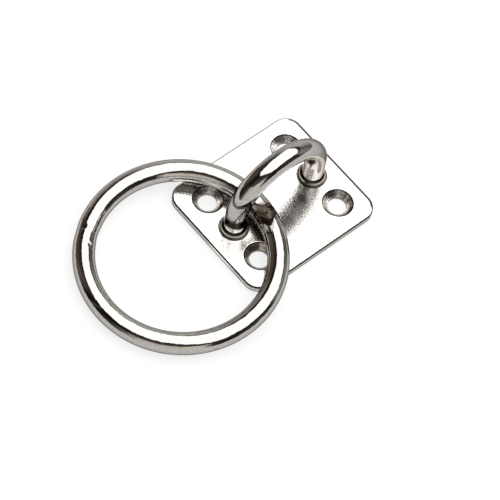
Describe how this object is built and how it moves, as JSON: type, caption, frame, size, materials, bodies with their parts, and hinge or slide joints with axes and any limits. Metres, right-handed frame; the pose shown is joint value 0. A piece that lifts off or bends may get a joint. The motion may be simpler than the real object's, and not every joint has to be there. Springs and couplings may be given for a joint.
{
  "type": "deck lifting ring",
  "caption": "Pad eye of bent round bar on a square countersunk plate, with a loose welded ring that swings through the eye; screws flat to a deck as a lifting or lashing point.",
  "frame": {"origin": "centre of the plate's underside, in the middle of the four screw holes", "axes": "+X along the eye from its left foot to its right foot, the ring lying towards -X at rest; +Z out of the plate's underside towards the eye's crown"},
  "size_m": [0.0815, 0.057, 0.0263],
  "materials": {
    "plate_steel": "mirror-polished stainless sheet",
    "bar_steel": "mirror-polished stainless round bar",
    "weld_steel": "polished and ground weld metal"
  },
  "bodies": {
    "pad": {"base_plate": "plate_steel", "eye_bow": "bar_steel", "foot_collar_left": "weld_steel", "foot_collar_right": "weld_steel", "back_weld_left": "weld_steel", "back_weld_right": "weld_steel"},
    "loose_ring": {"ring": "bar_steel"}
  },
  "joints": [
    {"name": "ring_swing", "type": "hinge", "parent": "pad", "child": "loose_ring", "pos_m": [-0.0059, 0.0008, 0.0063], "axis": [0, 1, 0], "range_deg": [0, 187.2]}
  ]
}
